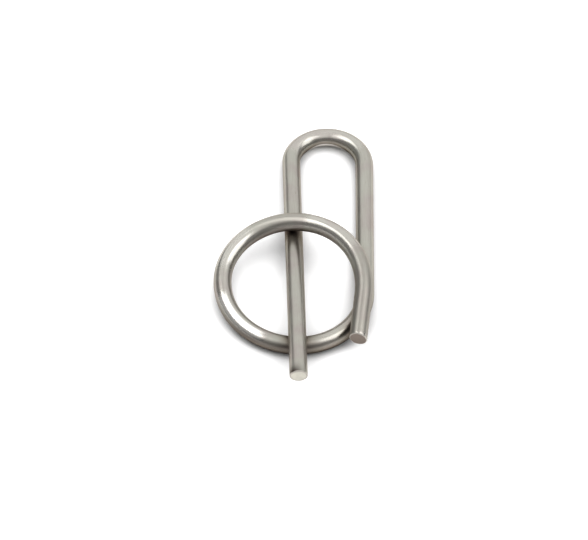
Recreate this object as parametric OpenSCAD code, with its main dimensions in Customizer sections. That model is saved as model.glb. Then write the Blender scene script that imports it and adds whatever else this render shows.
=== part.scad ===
// Spring clip for a brake pad pin, bent from one length of round wire.
// The straight leg goes through the pin's cross hole. The far bend turns the wire back beside it,
// and the back leg is coiled into a ring that snaps around the pin. The ring starts under the
// straight leg, comes over it on the far side, and ends on top of its own start.
// The clip lies as it rests on a table: the table is z = 0, and the leg points away along +Y.

/* [Wire] */
// Diameter of the round wire
wire_d = 1.6; // [1.2:0.05:1.9]
// Clear gap where one stretch of wire passes over another
cross_gap = 0.14; // [0.05:0.01:0.4]

/* [Straight leg] */
// Length of the straight leg, from its cut tip to the far bend
leg_len = 26.55; // [24:0.05:31]
// Lean of the sheared tip off square, in degrees: its upper edge stands out
tip_lean = 10; // [0:1:20]

/* [Far bend] */
// Bend radius on the straight leg's side, to the middle of the wire
bend_r_leg = 3.1; // [2.8:0.05:3.6]
// Bend radius on the back leg's side, to the middle of the wire
bend_r_back = 3.5; // [3.1:0.05:3.8]
// Whole turn of the far bend: past 180 degrees the back leg leans in
bend_turn = 181.8; // [180:0.1:184]

/* [Back leg] */
// Length of the back leg, from the far bend to the start of the ring
back_len = 14.9; // [13:0.1:17]

/* [Ring] */
// Radius of the near quarter, where the ring starts, to the middle of the wire
ring_r_near = 5.95; // [5.7:0.05:6.6]
// Radius of the quarter on the outer side
ring_r_outer = 6.75; // [6.2:0.05:7]
// Radius of the quarter that comes back over the straight leg
ring_r_far = 5.55; // [5.4:0.05:6.2]
// Radius of the last quarter, which opens onto the back leg
ring_r_last = 7.35; // [6.6:0.05:7.6]
// Whole turn of the ring: past 360 degrees its end leans in
ring_turn = 369; // [364:0.5:372]
// Length of the straight tail after the ring
tail_len = 4.45; // [3:0.05:5]
// Lean of the sheared tail off square, in degrees: its lower edge stands out
tail_lean = 13; // [0:1:20]

/* [Twist between bends, per degree of lift] */
// Twist in the middle of the far bend, which lowers the back leg
twist_bend = 0.3; // [0.21:0.01:0.37]
// Twist at each bend of the near quarter
twist_near = -0.1; // [-0.12:0.01:0]
// Twist at each bend of the outer quarter
twist_outer = -0.22; // [-0.3:0.01:-0.18]
// Twist at each bend of the far quarter
twist_far = -0.45; // [-0.48:0.01:-0.34]
// Twist at each bend of the last quarter, which brings the tail down again
twist_last = 0.49; // [0.38:0.01:0.54]

/* [Hidden] */
steel = [0.68, 0.66, 0.63];
wire_r = wire_d / 2;
// The wire's middle rises by one wire and one gap where it passes over itself
lift = wire_d + cross_gap;
ring_r = (ring_r_near + ring_r_outer + ring_r_far + ring_r_last) / 4;
// Slope of the coil: the angle that gains one lift over one ring radius
lift_angle = atan(lift / ring_r);
bend_half = 90;
// A ball this much larger than the wire in radius joins two stretches where they meet
joint_over = 0.01;
// The ring is bent in equal steps, two to a quarter
ring_step = ring_turn / 8;
round_sides = 64;
turn_sides = 128;
// Stations along a bend at which its middle line is measured
stations = [for (i = [0 : 24]) i / 24];

// Bend table: straight length, bend radius, bend angle, twist before the bend.
// A straight stretch has no radius and a bend has no length.
function straight(length) = [length, 0, 0, 0];
function bend(radius, angle, twist) = [0, radius, angle, twist * lift_angle];
table = [
    straight(leg_len),
    bend(bend_r_leg, bend_half, 0),
    bend(bend_r_back, bend_turn - bend_half, twist_bend),
    straight(back_len),
    bend(ring_r_near, ring_step, twist_near),
    bend(ring_r_near, ring_step, twist_near),
    bend(ring_r_outer, ring_step, twist_outer),
    bend(ring_r_outer, ring_step, twist_outer),
    bend(ring_r_far, ring_step, twist_far),
    bend(ring_r_far, ring_step, twist_far),
    bend(ring_r_last, ring_step, twist_last),
    bend(ring_r_last, ring_step, twist_last),
    straight(tail_len),
];
first_leg = 0;
leg_side_bend = 1;
near_bend = 5;

// Vector v turned about the unit vector k
function turned(v, k, a) = v * cos(a) + cross(k, v) * sin(a) + k * (k * v) * (1 - cos(a));

// A frame is a place, the wire's heading there, and the side that it bends to
function twisted(f, row) = [f[0], f[1], turned(f[2], f[1], row[3])];
function along(g, row, s) = row[1] == 0
    ? g[0] + g[1] * row[0] * s
    : g[0] + g[2] * row[1] * (1 - cos(row[2] * s)) + g[1] * row[1] * sin(row[2] * s);
function after(g, row) = [
    along(g, row, 1),
    g[1] * cos(row[2]) + g[2] * sin(row[2]),
    g[2] * cos(row[2]) - g[1] * sin(row[2]),
];
start = [[0, 0, 0], [0, 1, 0], [1, 0, 0]];
frames = [
    for (i = 0, f = twisted(start, table[0]); i < len(table);
         f = i + 1 < len(table) ? twisted(after(f, table[i]), table[i + 1]) : f, i = i + 1) f
];
last = len(table) - 1;
tail_end = after(frames[last], table[last]);
middle_line = [for (i = [0 : last]) for (s = stations) along(frames[i], table[i], s)];

// The clip rests on the far bend's top and on the near arc, whose lowest place lies between
// these two
rest_far = along(frames[leg_side_bend], table[leg_side_bend], 0.75);
rest_left = along(frames[near_bend], table[near_bend], 1.05);
rest_right = along(frames[near_bend], table[near_bend], 0.25);
upward = cross(rest_left - rest_far, rest_right - rest_far);
up = upward / norm(upward) * sign(upward.z);
lay_angle = acos(up.z);
lay_axis = cross(up, [0, 0, 1]) / norm(cross(up, [0, 0, 1]));
laid = [for (p = middle_line) turned(p, lay_axis, lay_angle)];
xs = [for (p = laid) p.x];
ys = [for (p = laid) p.y];
zs = [for (p = laid) p.z];
mid_x = (min(xs) + max(xs)) / 2;
leg_heading = turned(start[1], lay_axis, lay_angle);
// The tip's upper edge stands furthest out
tip_y = laid[0].y - wire_r * leg_heading.z + joint_over * leg_heading.y;
mid_y = (tip_y + max(ys) + wire_r) / 2;
low_z = min(zs) - wire_r;

// Children drawn at a frame: X is the side that the wire bends to, Y its heading
module at(f) {
    b = cross(f[2], f[1]);
    multmatrix([
        [f[2].x, f[1].x, b.x, f[0].x],
        [f[2].y, f[1].y, b.y, f[0].y],
        [f[2].z, f[1].z, b.z, f[0].z],
        [0, 0, 0, 1],
    ]) children();
}

module straight_wire(length) {
    rotate([-90, 0, 0]) cylinder(h = length, d = wire_d, $fn = round_sides);
}

module bent_wire(radius, angle) {
    translate([radius, 0, 0]) rotate([0, 0, 180 - angle])
        rotate_extrude(angle = angle, $fn = turn_sides)
            translate([radius, 0]) circle(d = wire_d, $fn = round_sides);
}

// Waste beyond a sheared end: a leaning face that just takes off the whole square end
module waste(lean) {
    size = 3 * wire_d;
    depth = wire_r * tan(abs(lean)) + joint_over;
    translate([0, -depth, 0]) rotate([lean, 0, 0]) translate([-size / 2, 0, -size / 2]) cube(size);
}

module clip_wire() {
    color(steel) translate([-mid_x, -mid_y, -low_z]) rotate(a = lay_angle, v = lay_axis) difference() {
        union() {
            for (i = [0 : last]) {
                row = table[i];
                at(frames[i]) {
                    if (row[1] == 0) straight_wire(row[0]);
                    else bent_wire(row[1], row[2]);
                    if (i > 0) rotate([-90, 0, 0]) sphere(r = wire_r + joint_over, $fn = round_sides);
                }
            }
        }
        at([frames[0][0], -frames[0][1], -frames[0][2]]) waste(-tip_lean);
        at(tail_end) waste(tail_lean);
    }
}

clip_wire();
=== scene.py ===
import math

import bpy
import numpy as np
from mathutils import Matrix, Vector


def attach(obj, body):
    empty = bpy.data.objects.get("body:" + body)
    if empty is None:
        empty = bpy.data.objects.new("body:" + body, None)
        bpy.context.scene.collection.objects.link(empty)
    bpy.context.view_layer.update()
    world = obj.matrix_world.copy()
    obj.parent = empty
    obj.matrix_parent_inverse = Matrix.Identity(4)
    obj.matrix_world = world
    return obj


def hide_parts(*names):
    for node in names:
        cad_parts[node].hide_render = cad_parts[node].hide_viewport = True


MM = 0.001

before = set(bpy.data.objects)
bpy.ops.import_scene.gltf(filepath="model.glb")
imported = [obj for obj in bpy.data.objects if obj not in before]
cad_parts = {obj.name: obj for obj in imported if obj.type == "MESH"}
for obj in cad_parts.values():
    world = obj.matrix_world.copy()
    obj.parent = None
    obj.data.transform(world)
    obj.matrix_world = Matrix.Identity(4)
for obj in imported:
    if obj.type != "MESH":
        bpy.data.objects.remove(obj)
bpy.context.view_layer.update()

# Wire path: the same bend table as part.scad, in millimetres and degrees
WIRE_R = 0.8
JOINT_OVER = 0.01
TIP_LEAN, TAIL_LEAN = 10, 13
LEG_LEN, BACK_LEN, TAIL_LEN = 26.55, 14.9, 4.45
# Rise of the wire's middle where it passes over itself: one wire and one gap
CROSS_RISE = 1.74
# Radius and twist of each quarter of the ring, which is bent in two steps
RING_QUARTERS = [(5.95, -0.1), (6.75, -0.22), (5.55, -0.45), (7.35, 0.49)]
RING_STEP = 369 / 8
RING_R = sum(radius for radius, _ in RING_QUARTERS) / len(RING_QUARTERS)
LIFT_ANGLE = math.degrees(math.atan(CROSS_RISE / RING_R))
# Straight length, bend radius, bend angle, twist before the bend as a share of the lift angle
TABLE = [(LEG_LEN, 0, 0, 0), (0, 3.1, 90, 0), (0, 3.5, 91.8, 0.3), (BACK_LEN, 0, 0, 0)]
for radius, twist in RING_QUARTERS:
    TABLE += [(0, radius, RING_STEP, twist)] * 2
TABLE.append((TAIL_LEN, 0, 0, 0))
# Rows of the table on which the clip rests
FAR_BEND, NEAR_BEND = 1, 5
# Stations along a row at which the middle line is measured
STATIONS = 24

# Mesh of the wire: distance between rings and points round a ring
RING_GAP = 0.16
AROUND = 56
# Plain rings start this far from each end, clear of the rings of the sheared end
END_SKIP = 0.5
# Rounded shear edge: inset from the wire's side and depth behind the face
SHEAR_EDGE = [(0, 0.16), (0, 0.09), (0.012, 0.045), (0.035, 0.015), (0.075, 0)]
# Rings on a cut face, as shares of the wire's radius
FACE_RINGS = [0.86, 0.7, 0.52, 0.34, 0.17, 0.05]
# Wire length that makes one unit of the coordinate "round", long so that its noise runs along the wire
ROUND_LENGTH = 14
# Values of the mesh attribute "cut": on a rounded shear edge, on the tail's face and on the tip's
CUT_EDGE, CUT_TAIL, CUT_TIP = 0.25, 0.5, 1.0

# Stretches brightened in colour, partly wear from the bending tools and partly painted highlight: start and
# end along the wire, the direction that the brightened side faces, how far round it reaches in degrees, and
# how bright it is
UP = (0, 0, 1)
WEAR_AND_HIGHLIGHT = [
    (27.5, 35.5, UP, 55, 0.12),
    # Painted reflection of the bright paper on the underside of the far bend
    (28.6, 34.4, (0, -0.77, -0.64), 38, 0.95),
    (55.8, 59.4, UP, 50, 0.1),
    # Painted highlight on the near left of the ring
    (64.5, 70.1, (-0.26, -0.36, 0.9), 31, 1.0),
    (73.0, 77.5, UP, 55, 0.2),
    (83.0, 88.5, UP, 55, 0.2),
    # Painted highlight along the upper edge of the tail's cut end
    (97.3, 98.5, (0.35, -0.2, 0.9), 36, 0.22),
]
# Soft ends of a brightened stretch in millimetres, and its soft sides in degrees
WEAR_AND_HIGHLIGHT_FADE, WEAR_AND_HIGHLIGHT_EDGE = 1.0, 9
# Dark, dull stretches, a dark mark at the tip, and painted shade on sides that face the camera and the table:
# place along the wire, turn round it (0 left, 90 up), half length, half width in degrees, how dark
STAINS_AND_SHADE = [
    (0.0, 55, 0.75, 55, 1.0),
    (30.3, 138, 0.5, 24, 0.3),
    # Painted shade on the U bend's side that faces the camera and the table
    (31.5, 190, 3.5, 26, 0.3),
    (32.0, 138, 0.25, 24, 0.2),
    (61.5, 90, 2.0, 400, 0.3),
    # Painted shade on the near arc's side that faces the camera and the table
    (61.4, 38, 3.2, 26, 0.55),
    (66.2, 12, 3.4, 22, 0.8),
    (80.6, 112, 2.4, 44, 0.26),
    # Painted shade on the far arc's underside that faces the camera
    (82.5, 172, 5.0, 26, 0.6),
    (94.5, 90, 6.5, 400, 0.32),
]

# Steel colours and roughness
BROWN_TONE, PLAIN_TONE, GREEN_TONE = (0.385, 0.355, 0.33), (0.405, 0.395, 0.355), (0.415, 0.415, 0.37)
STREAK_TONE = (0.84, 0.82, 0.80)
WEAR_AND_HIGHLIGHT_TONE = (0.93, 0.90, 0.85)
# Dark brown of the stains and of the painted shade
STAIN_AND_SHADE_TONE = (0.07, 0.054, 0.048)
# Cut faces: the rounded shear edge, the tail's face, which is darkened as painted shade, and the tip's face
EDGE_TONE, SHADED_TAIL_TONE, TIP_TONE = (0.58, 0.55, 0.50), (0.18, 0.15, 0.13), (0.55, 0.53, 0.47)
RIM_TINT = (0.62, 0.58, 0.54)
SATIN_LEAST, SATIN_MOST = 0.27, 0.35
ROUGH_SIDES, ROUGH_DULL, ROUGH_WEAR_AND_HIGHLIGHT, ROUGH_CUT = 0.5, 0.42, 0.22, 0.42
# Distances in metres within which the steel and the paper look for what closes them in
STEEL_REACH, PAPER_REACH = 0.005, 0.004

# Paper in the open, and the painted contact shadow close under the wire
PAPER_TONE, CONTACT_SHADOW_TONE = 0.9, 0.62
# Added to what the camera and the steel see of the paper, where 1 is white
PAPER_LIFT = 0.45

# Lamps: name, azimuth, elevation, size, brightness
LAMP_DISTANCE = 0.6
LAMPS = [
    ("overhead", 180, 84, (0.95, 0.9), 0.85),
    ("right_panel", 103, 50, (0.42, 0.58), 1.8),
    ("left_panel", -82, 60, (0.42, 0.28), 1.9),
    ("back_panel", 12, 33, (1.3, 0.62), 0.9),
]
WORLD_STRENGTH = 0.33

# Camera, fitted to the photo: focal length in pixels of its width
CAM_EL, CAM_AZ, FOCAL_PX = 50.215, 1.519, 5384.7
PHOTO_WIDTH_PX = 588
SENSOR_MM = 36
TARGET = Vector((-0.142, -1.255, 0.8)) * MM
CAM_DISTANCE = 480 * MM


def turned(v, k, degrees):
    c, s = math.cos(math.radians(degrees)), math.sin(math.radians(degrees))
    return v * c + np.cross(k, v) * s + k * np.dot(k, v) * (1 - c)


def rows_of_wire():
    """Each row of the table with the place, heading and bend side where it starts."""
    place, heading, side = np.zeros(3), np.array([0.0, 1, 0]), np.array([1.0, 0, 0])
    rows = []
    for length, radius, angle, twist in TABLE:
        side = turned(side, heading, twist * LIFT_ANGLE)
        rows.append((length, radius, angle, place, heading, side))
        if radius:
            c, s = math.cos(math.radians(angle)), math.sin(math.radians(angle))
            place = place + side * radius * (1 - c) + heading * radius * s
            heading, side = heading * c + side * s, side * c - heading * s
        else:
            place = place + heading * length
    return rows


def on_row(row, share):
    length, radius, angle, place, heading, side = row
    if not radius:
        return place + heading * length * share
    a = math.radians(angle * share)
    return place + side * radius * (1 - math.cos(a)) + heading * radius * math.sin(a)


def laid_line():
    """Middle line of the wire as it lies on the table, in millimetres."""
    rows = rows_of_wire()
    far = on_row(rows[FAR_BEND], 0.75)
    left = on_row(rows[NEAR_BEND], 1.05)
    right = on_row(rows[NEAR_BEND], 0.25)
    up = np.cross(left - far, right - far)
    up *= np.sign(up[2]) / np.linalg.norm(up)
    axis = np.cross(up, [0, 0, 1.0])
    axis /= np.linalg.norm(axis)
    lay = math.degrees(math.acos(up[2]))
    shares = [i / STATIONS for i in range(STATIONS + 1)]
    stations = np.array([turned(on_row(row, share), axis, lay) for row in rows for share in shares])
    first_heading = rows[0][4]
    lead = turned(first_heading, axis, lay)
    # The tip's upper edge stands furthest out
    tip_y = stations[0, 1] - WIRE_R * lead[2] + JOINT_OVER * lead[1]
    shift = np.array([
        -(stations[:, 0].min() + stations[:, 0].max()) / 2,
        -(tip_y + stations[:, 1].max() + WIRE_R) / 2,
        -(stations[:, 2].min() - WIRE_R),
    ])
    points = []
    for i, row in enumerate(rows):
        run = row[0] or row[1] * math.radians(row[2])
        count = max(2, round(run / RING_GAP))
        first = 0 if i == 0 else 1
        points += [on_row(row, k / count) for k in range(first, count + 1)]
    return np.array([turned(p, axis, lay) + shift for p in points])


# Wire mesh
def tube_frames(line):
    """Heading and two cross directions at each point, carried along without turning."""
    heading = np.gradient(line, axis=0)
    heading /= np.linalg.norm(heading, axis=1)[:, None]
    across = np.cross([0, 0, 1.0], heading[0])
    across /= np.linalg.norm(across)
    sides = []
    for h in heading:
        across = across - h * np.dot(across, h)
        across /= np.linalg.norm(across)
        sides.append(across)
    sides = np.array(sides)
    return heading, sides, np.cross(heading, sides)


def eased(x):
    x = np.clip(x, 0, 1)
    return x * x * (3 - 2 * x)


def wear_and_highlight_at(run, out):
    """How bright the wire is made by wear and painted highlight, from the place along it and the direction of
    its surface.
    """
    total = np.zeros(len(run))
    for start, end, facing, reach, amount in WEAR_AND_HIGHLIGHT:
        facing = np.array(facing) / np.linalg.norm(facing)
        off = np.degrees(np.arccos(np.clip(out @ facing, -1, 1)))
        ends = eased((run - start) / WEAR_AND_HIGHLIGHT_FADE + 0.5) * eased((end - run) / WEAR_AND_HIGHLIGHT_FADE + 0.5)
        total += amount * ends * eased((reach - off) / WEAR_AND_HIGHLIGHT_EDGE + 0.5)
    return total


def stain_and_shade_at(run, turn):
    """How dull and dark the wire is, by stains and painted shade, from the place along it and the turn round
    it.
    """
    total = np.zeros(len(run))
    for place, at_turn, length, width, amount in STAINS_AND_SHADE:
        off_turn = (np.degrees(turn) - at_turn + 180) % 360 - 180
        total += amount * np.exp(-((run - place) / length) ** 2 - (off_turn / width) ** 2)
    return np.minimum(total, 1)


def wire_piece(name):
    """The whole wire as one closed mesh, with the attributes that its material reads."""
    line = laid_line()
    heading, side, upper = tube_frames(line)
    run = np.concatenate([[0], np.cumsum(np.linalg.norm(np.diff(line, axis=0), axis=1))])
    angle = np.arange(AROUND) * 2 * math.pi / AROUND
    ca, sa = np.cos(angle), np.sin(angle)
    verts, along, turn, cut, outward_at = [], [], [], [], []

    def ring(middle, s, u, radius, lead, run_at, is_cut):
        """One ring; lead is how far each point stands along the heading."""
        h = np.cross(s, u)
        for k in range(AROUND):
            out = s * ca[k] + u * sa[k]
            verts.append(middle + radius * out + h * lead[k])
            outward_at.append(out)
            along.append(run_at)
            turn.append(angle[k])
            cut.append(is_cut)

    def end_rings(middle, s, u, lean, outward, run_at, face_value):
        """Rings of a sheared end, from the wire's side over the rounded edge to the face's middle."""
        slope = math.tan(math.radians(lean))
        depth = WIRE_R * abs(slope) + JOINT_OVER
        rings = []
        for inset, back in SHEAR_EDGE:
            r = WIRE_R - inset
            rings.append((r, outward * (slope * r * sa - depth - back), CUT_EDGE if inset else 0.0))
        for share in FACE_RINGS:
            r = WIRE_R * share
            rings.append((r, outward * (slope * r * sa - depth), face_value))
        return [(middle, s, u, r, lead, run_at, value) for r, lead, value in rings]

    tip = end_rings(line[0], side[0], upper[0], TIP_LEAN, -1, 0, CUT_TIP)
    tail = end_rings(line[-1], side[-1], upper[-1], -TAIL_LEAN, 1, run[-1], CUT_TAIL)
    for args in tip[::-1]:
        ring(*args)
    for i in range(len(line)):
        if END_SKIP < run[i] < run[-1] - END_SKIP:
            ring(line[i], side[i], upper[i], WIRE_R, np.zeros(AROUND), run[i], 0.0)
    for args in tail:
        ring(*args)
    rings = len(verts) // AROUND

    # Middle point of each cut face
    verts.append(line[0] + heading[0] * (WIRE_R * math.tan(math.radians(TIP_LEAN)) + JOINT_OVER))
    verts.append(line[-1] - heading[-1] * (WIRE_R * math.tan(math.radians(TAIL_LEAN)) + JOINT_OVER))
    along += [0, run[-1]]
    turn += [0, 0]
    outward_at += [-heading[0], heading[-1]]
    cut += [CUT_TIP, CUT_TAIL]

    faces = []
    for j in range(rings - 1):
        for k in range(AROUND):
            n = (k + 1) % AROUND
            faces.append((j * AROUND + k, j * AROUND + n, (j + 1) * AROUND + n, (j + 1) * AROUND + k))
    first, last = rings * AROUND, rings * AROUND + 1
    for k in range(AROUND):
        n = (k + 1) % AROUND
        faces.append((first, n, k))
        faces.append((last, (rings - 1) * AROUND + k, (rings - 1) * AROUND + n))

    mesh = bpy.data.meshes.new(name)
    mesh.from_pydata([Vector(v) * MM for v in verts], [], faces)
    along, turn, outward_at = np.array(along), np.array(turn), np.array(outward_at)
    shares = (("cut", cut), ("wear_and_highlight", wear_and_highlight_at(along, outward_at)), ("stain_and_shade", stain_and_shade_at(along, turn)))
    for attribute_name, values in shares:
        a = mesh.attributes.new(attribute_name, "FLOAT", "POINT")
        a.data.foreach_set("value", np.array(values, np.float32))
    a = mesh.attributes.new("round", "FLOAT_VECTOR", "POINT")
    co = [(math.cos(t), math.sin(t), s / ROUND_LENGTH) for t, s in zip(turn, along)]
    a.data.foreach_set("vector", np.array(co, np.float32).ravel())
    mesh.validate()
    mesh.update()
    for p in mesh.polygons:
        p.use_smooth = True
    piece = bpy.data.objects.new(name, mesh)
    bpy.context.scene.collection.objects.link(piece)
    return piece


# Materials
def new_tree(name):
    """New material without nodes, its node tree and its output node."""
    m = bpy.data.materials.new(name)
    m.use_nodes = True
    m.node_tree.nodes.clear()
    return m, m.node_tree, m.node_tree.nodes.new("ShaderNodeOutputMaterial")


def ramp(tree, source, *stops):
    """Colour ramp on a value; each stop is a place and a colour."""
    n = tree.nodes.new("ShaderNodeValToRGB")
    while len(n.color_ramp.elements) < len(stops):
        n.color_ramp.elements.new(0.5)
    for element, (place, colour) in zip(n.color_ramp.elements, stops):
        element.position = place
        element.color = (*colour, 1)
    tree.links.new(source, n.inputs[0])
    return n.outputs[0]


def grey(v):
    return (v, v, v)


def blend(tree, share, first, second, kind="MIX"):
    """Mix of two colours, each a colour or an output; share is a number or an output."""
    n = tree.nodes.new("ShaderNodeMix")
    n.data_type = "RGBA"
    n.blend_type = kind
    if isinstance(share, (int, float)):
        n.inputs[0].default_value = share
    else:
        tree.links.new(share, n.inputs[0])
    for value, socket in ((first, n.inputs[6]), (second, n.inputs[7])):
        if isinstance(value, tuple):
            socket.default_value = (*value, 1)
        else:
            tree.links.new(value, socket)
    return n.outputs[2]


def noise(tree, place, scale, detail, roughness=0.5):
    n = tree.nodes.new("ShaderNodeTexNoise")
    n.inputs["Scale"].default_value = scale
    n.inputs["Detail"].default_value = detail
    n.inputs["Roughness"].default_value = roughness
    tree.links.new(place, n.inputs["Vector"])
    return n.outputs[0]


def attribute(tree, name, output="Fac"):
    n = tree.nodes.new("ShaderNodeAttribute")
    n.attribute_name = name
    return n.outputs[output]


def open_share(tree, distance, samples):
    """How open the surface is to the sky within a distance, from 0 to 1."""
    n = tree.nodes.new("ShaderNodeAmbientOcclusion")
    n.samples = samples
    n.inputs["Distance"].default_value = distance
    return n.outputs["AO"]


def bumped(tree, height, strength, distance, under=None):
    n = tree.nodes.new("ShaderNodeBump")
    n.inputs["Strength"].default_value = strength
    n.inputs["Distance"].default_value = distance
    tree.links.new(height, n.inputs["Height"])
    if under is not None:
        tree.links.new(under, n.inputs["Normal"])
    return n.outputs[0]


def math_node(tree, operation, first, second):
    n = tree.nodes.new("ShaderNodeMath")
    n.operation = operation
    tree.links.new(first, n.inputs[0])
    tree.links.new(second, n.inputs[1])
    return n.outputs[0]


def steel_material():
    """Drawn spring steel: satin, with fine marks along the wire, brown patches, painted shade where it is
    closed in, stains, and bends brightened by wear and painted highlight.
    """
    m, t, out = new_tree("drawn_spring_steel")
    skin = t.nodes.new("ShaderNodeBsdfPrincipled")
    t.links.new(skin.outputs[0], out.inputs[0])
    skin.inputs["Metallic"].default_value = 1.0
    round_wire = attribute(t, "round", "Vector")
    object_place = t.nodes.new("ShaderNodeTexCoord").outputs["Object"]
    marks = noise(t, round_wire, scale=9.0, detail=5.0, roughness=0.6)
    patches = noise(t, object_place, scale=420.0, detail=4.0, roughness=0.55)
    specks = noise(t, object_place, scale=2600.0, detail=2.0)
    grain = noise(t, object_place, scale=1500.0, detail=3.0, roughness=0.6)
    wear_and_highlight = attribute(t, "wear_and_highlight")
    stain_and_shade_share = attribute(t, "stain_and_shade")
    cut = attribute(t, "cut")

    tone = ramp(t, patches, (0.34, BROWN_TONE), (0.5, PLAIN_TONE), (0.66, GREEN_TONE))
    streak = ramp(t, marks, (0.35, STREAK_TONE), (0.65, grey(1)))
    drawn = blend(t, 0.6, tone, streak, "MULTIPLY")
    # Painted shade: sides that face the table or another stretch of wire are made darker, browner and duller
    # by how closed in they are
    openness = open_share(t, STEEL_REACH, 12)
    shade = ramp(
        t, openness,
        (0.1, (0.12, 0.095, 0.085)),
        (0.4, (0.20, 0.165, 0.145)),
        (0.52, (0.44, 0.38, 0.335)),
        (0.64, (0.76, 0.72, 0.67)),
        (0.85, grey(1)),
    )
    shaded = blend(t, 1.0, drawn, shade, "MULTIPLY")
    # Wear and painted highlights brighten the colour
    bright = blend(t, wear_and_highlight, shaded, WEAR_AND_HIGHLIGHT_TONE)
    stain_and_shade = blend(t, stain_and_shade_share, bright, STAIN_AND_SHADE_TONE)
    cut_tone = ramp(t, cut, (0.2, EDGE_TONE), (0.4, SHADED_TAIL_TONE), (0.6, SHADED_TAIL_TONE), (0.9, TIP_TONE))
    cut_face = blend(t, 0.5, cut_tone, ramp(t, grain, (0.35, grey(0.7)), (0.65, grey(1))), "MULTIPLY")
    is_cut = ramp(t, cut, (0.0, grey(0)), (0.2, grey(1)))
    t.links.new(blend(t, is_cut, stain_and_shade, cut_face), skin.inputs["Base Color"])
    skin.inputs["Specular Tint"].default_value = (*RIM_TINT, 1)

    satin = ramp(t, marks, (0.3, grey(SATIN_LEAST)), (0.7, grey(SATIN_MOST)))
    sides = blend(t, ramp(t, openness, (0.5, grey(1)), (0.75, grey(0))), satin, grey(ROUGH_SIDES))
    duller = blend(t, ramp(t, stain_and_shade_share, (0.0, grey(0)), (0.4, grey(1))), sides, grey(ROUGH_DULL))
    smooth = blend(t, ramp(t, wear_and_highlight, (0.0, grey(0)), (0.15, grey(1))), duller, grey(ROUGH_WEAR_AND_HIGHLIGHT))
    t.links.new(blend(t, is_cut, smooth, grey(ROUGH_CUT)), skin.inputs["Roughness"])
    coarse = bumped(t, marks, strength=0.25, distance=0.00002)
    t.links.new(bumped(t, specks, strength=0.2, distance=0.00001, under=coarse), skin.inputs["Normal"])
    return m


def floor_material():
    """White paper with a painted contact shadow close under the wire. The camera and the steel see it lifted
    to white, less so close under the wire.
    """
    m, t, out = new_tree("white_paper")
    paper = t.nodes.new("ShaderNodeBsdfDiffuse")
    glow = t.nodes.new("ShaderNodeEmission")
    openness = open_share(t, PAPER_REACH, 16)
    t.links.new(ramp(t, openness, (0.2, grey(CONTACT_SHADOW_TONE)), (0.55, grey(PAPER_TONE))), paper.inputs["Color"])
    ray = t.nodes.new("ShaderNodeLightPath")
    seen = ray.outputs["Is Camera Ray"]
    for output in ("Is Glossy Ray", "Is Transmission Ray"):
        seen = math_node(t, "MAXIMUM", seen, ray.outputs[output])
    # Painted shadow: the lift fades out where the wire closes the paper in
    lift = ramp(t, openness, (0.47, grey(0)), (0.76, grey(PAPER_LIFT)))
    t.links.new(math_node(t, "MULTIPLY", seen, lift), glow.inputs["Strength"])
    both = t.nodes.new("ShaderNodeAddShader")
    t.links.new(paper.outputs[0], both.inputs[0])
    t.links.new(glow.outputs[0], both.inputs[1])
    t.links.new(both.outputs[0], out.inputs[0])
    return m


# Object
wire = wire_piece("clip_wire_drawn")
wire.data.materials.append(steel_material())
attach(wire, "root")
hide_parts("clip_wire")

# Stage
bpy.ops.mesh.primitive_plane_add(size=3, location=(0, 0, 0))
floor = bpy.context.object
floor.name = "table_top"
floor.data.materials.append(floor_material())


def lamp(name, azimuth, elevation, size, brightness):
    """Area lamp that faces the clip. Azimuth 0 stands beyond the clip (+Y) and 90 on its right (+X)."""
    data = bpy.data.lights.new(name, "AREA")
    data.shape = "RECTANGLE"
    data.size, data.size_y = size
    data.energy = brightness * math.pi * size[0] * size[1]
    o = bpy.data.objects.new(name, data)
    a, e = math.radians(azimuth), math.radians(elevation)
    away = Vector((math.sin(a) * math.cos(e), math.cos(a) * math.cos(e), math.sin(e)))
    o.location = LAMP_DISTANCE * away
    o.rotation_euler = (-o.location).to_track_quat("-Z", "Y").to_euler()
    bpy.context.scene.collection.objects.link(o)


for row in LAMPS:
    lamp(*row)

world = bpy.data.worlds.new("studio")
bpy.context.scene.world = world
world.use_nodes = True
world.node_tree.nodes["Background"].inputs["Color"].default_value = (1, 1, 1, 1)
world.node_tree.nodes["Background"].inputs["Strength"].default_value = WORLD_STRENGTH

# Camera
e, a = math.radians(CAM_EL), math.radians(CAM_AZ)
look = Vector((math.sin(a) * math.cos(e), math.cos(a) * math.cos(e), -math.sin(e)))
right = Vector((math.cos(a), -math.sin(a), 0))
up = right.cross(look)
camera_data = bpy.data.cameras.new("camera")
camera_data.sensor_width = SENSOR_MM
camera_data.lens = FOCAL_PX / PHOTO_WIDTH_PX * SENSOR_MM
camera_data.clip_start = 0.01
camera_data.dof.use_dof = False
camera = bpy.data.objects.new("camera", camera_data)
turn = Matrix((right, up, -look)).transposed().to_4x4()
camera.matrix_world = Matrix.Translation(TARGET - look * CAM_DISTANCE) @ turn
bpy.context.scene.collection.objects.link(camera)
bpy.context.scene.camera = camera
bpy.context.scene.view_settings.view_transform = "Standard"
